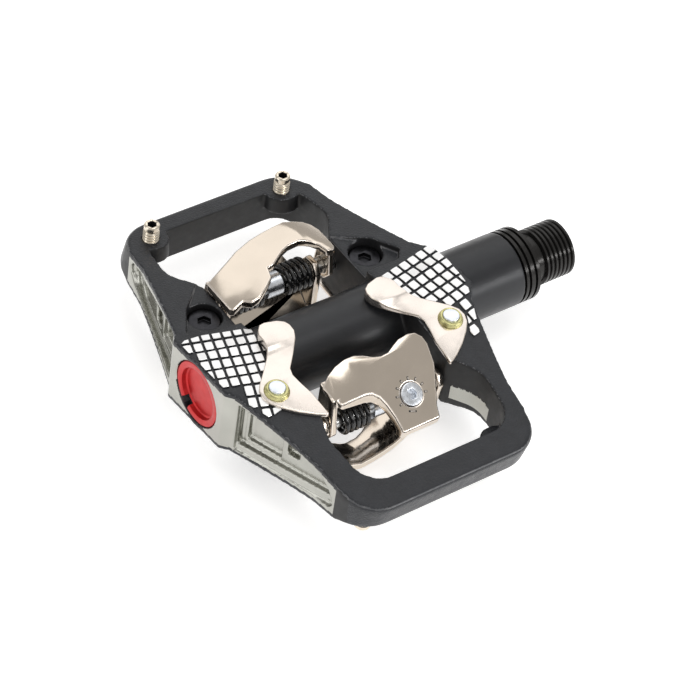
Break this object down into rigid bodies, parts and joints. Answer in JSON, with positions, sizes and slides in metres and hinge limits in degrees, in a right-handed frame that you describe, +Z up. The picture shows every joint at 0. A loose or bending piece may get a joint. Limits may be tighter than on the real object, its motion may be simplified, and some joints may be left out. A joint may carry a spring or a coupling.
{
  "type": "clipless pedal",
  "caption": "Dual-sided clipless trail pedal: open alloy cage, sprung cleat claw and fixed hoop on each face, traction pins, threaded spindle on bearings.",
  "frame": {"origin": "centre of the spindle's crank shoulder face, on the spindle axis", "axes": "+X along the spindle towards the crank, +Z up through the upper cleat face, +Y towards the end with the upper traction pins"},
  "size_m": [0.1054, 0.1068, 0.0298],
  "materials": {
    "body_black": "satin black powder coat with bare machined sides",
    "spindle_black": "satin black plated steel",
    "claw_nickel": "bright nickel plate",
    "plate_steel": "polished stainless steel",
    "fastener_zinc": "zinc plated",
    "collar_chromate": "yellow chromate",
    "spring_black": "gloss black",
    "bearing_steel": "ground",
    "cap_red": "red anodised",
    "seal_rubber": "matt"
  },
  "bodies": {
    "spindle": {"spindle": "spindle_black", "ball_bearing_inner_races": "bearing_steel", "thrust_washer": "bearing_steel", "lock_nut": "fastener_zinc"},
    "platform": {"pedal_body": "body_black", "spindle_seal": "seal_rubber", "needle_shell": "bearing_steel", "needle_rollers": "bearing_steel", "ball_bearing_outer_races": "bearing_steel", "ball_bearing_balls": "bearing_steel", "bearing_circlip": "bearing_steel", "end_cap": "cap_red", "traction_pins_upper": "fastener_zinc", "traction_pins_lower": "fastener_zinc", "arm_screws_upper": "fastener_zinc", "arm_screws_lower": "fastener_zinc", "cleat_plate_upper_outboard": "plate_steel", "cleat_plate_lower_outboard": "plate_steel", "cleat_plate_upper_inboard": "plate_steel", "cleat_plate_lower_inboard": "plate_steel", "rivet_collars_upper": "collar_chromate", "rivet_collars_lower": "collar_chromate", "rivets_upper": "fastener_zinc", "rivets_lower": "fastener_zinc", "hinge_pin_upper_end": "bearing_steel", "hinge_pin_lower_end": "bearing_steel", "spring_bush_upper_end": "fastener_zinc", "spring_bush_lower_end": "fastener_zinc", "claw_springs_upper_end": "spring_black", "claw_springs_lower_end": "spring_black", "front_hoop_upper": "claw_nickel", "front_hoop_lower": "claw_nickel"},
    "claw_upper": {"rear_claw_upper": "claw_nickel", "tension_nut_upper": "bearing_steel"},
    "claw_lower": {"rear_claw_lower": "claw_nickel", "tension_nut_lower": "bearing_steel"},
    "screw_upper": {"tension_screw_upper": "fastener_zinc"},
    "screw_lower": {"tension_screw_lower": "fastener_zinc"}
  },
  "joints": [
    {"name": "platform_spin", "type": "hinge", "parent": "spindle", "child": "platform", "pos_m": [0, 0, 0], "axis": [1, 0, 0], "continuous": true},
    {"name": "claw_upper_open", "type": "hinge", "parent": "platform", "child": "claw_upper", "pos_m": [-0.058, -0.022, 0], "axis": [1, 0, 0], "range_deg": [0, 16], "stiffness_Nm_per_rad": 4, "springref_deg": -20.05, "deforming": ["claw_springs_lower_end"]},
    {"name": "tension_upper_turn", "type": "hinge", "parent": "claw_upper", "child": "screw_upper", "pos_m": [-0.0535, -0.0287, 0.00702], "axis": [0, -0.6168, 0.7871], "range_deg": [0, 360]},
    {"name": "claw_lower_open", "type": "hinge", "parent": "platform", "child": "claw_lower", "pos_m": [-0.058, 0.022, 0], "axis": [1, 0, 0], "range_deg": [0, 16], "stiffness_Nm_per_rad": 4, "springref_deg": -20.05, "deforming": ["claw_springs_upper_end"]},
    {"name": "tension_lower_turn", "type": "hinge", "parent": "claw_lower", "child": "screw_lower", "pos_m": [-0.0535, 0.0287, -0.00702], "axis": [0, 0.6168, -0.7871], "range_deg": [0, 360]}
  ]
}
